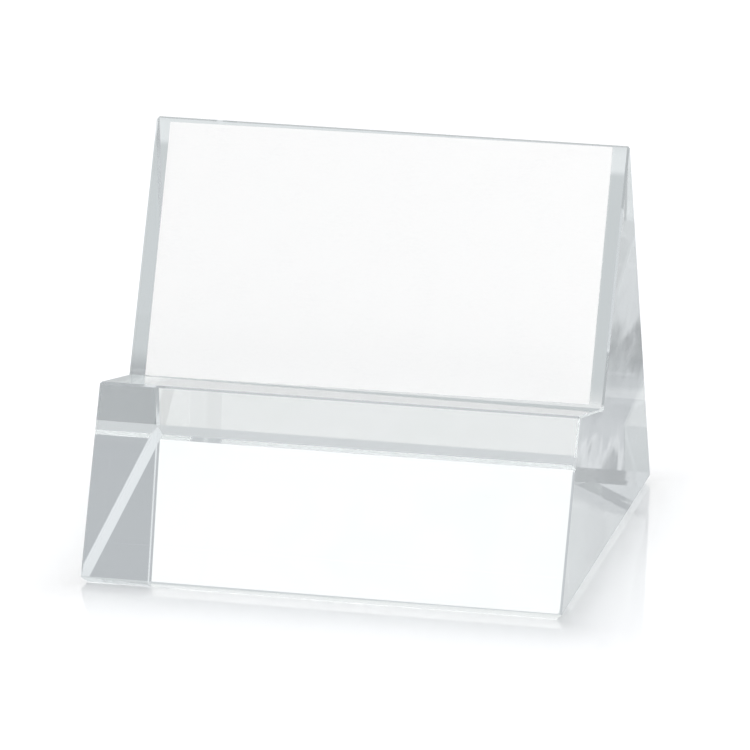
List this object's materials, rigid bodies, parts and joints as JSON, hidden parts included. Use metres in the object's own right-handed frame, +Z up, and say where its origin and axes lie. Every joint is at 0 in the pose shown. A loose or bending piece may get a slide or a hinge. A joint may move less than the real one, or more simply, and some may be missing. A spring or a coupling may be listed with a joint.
{
  "type": "business card holder stand",
  "caption": "Clear crystal wedge with a leaning backrest and a sloped ledge that holds business cards upright for display on a desk.",
  "frame": {"origin": "middle of the footprint, on the surface that the stand rests on", "axes": "+X across the stand to the right as seen from the front, +Y from the front face to the back face, +Z up"},
  "size_m": [0.096, 0.079, 0.0761],
  "materials": {
    "crystal": "polished optical crystal with ground edges",
    "bond": "clear cured adhesive",
    "card": "smooth uncoated white card"
  },
  "bodies": {
    "holder": {"rear_wedge": "crystal", "front_block": "crystal", "bond_film": "bond"},
    "rear_card": {"rear_card": "card"},
    "front_card": {"front_card": "card"}
  },
  "joints": [
    {"name": "rear_card_lift", "type": "slide", "parent": "holder", "child": "rear_card", "axis": [0, 0.4633, 0.8862], "range_m": [0, 0.056]},
    {"name": "front_card_lift", "type": "slide", "parent": "holder", "child": "front_card", "axis": [0, 0.4633, 0.8862], "range_m": [0, 0.056]}
  ]
}
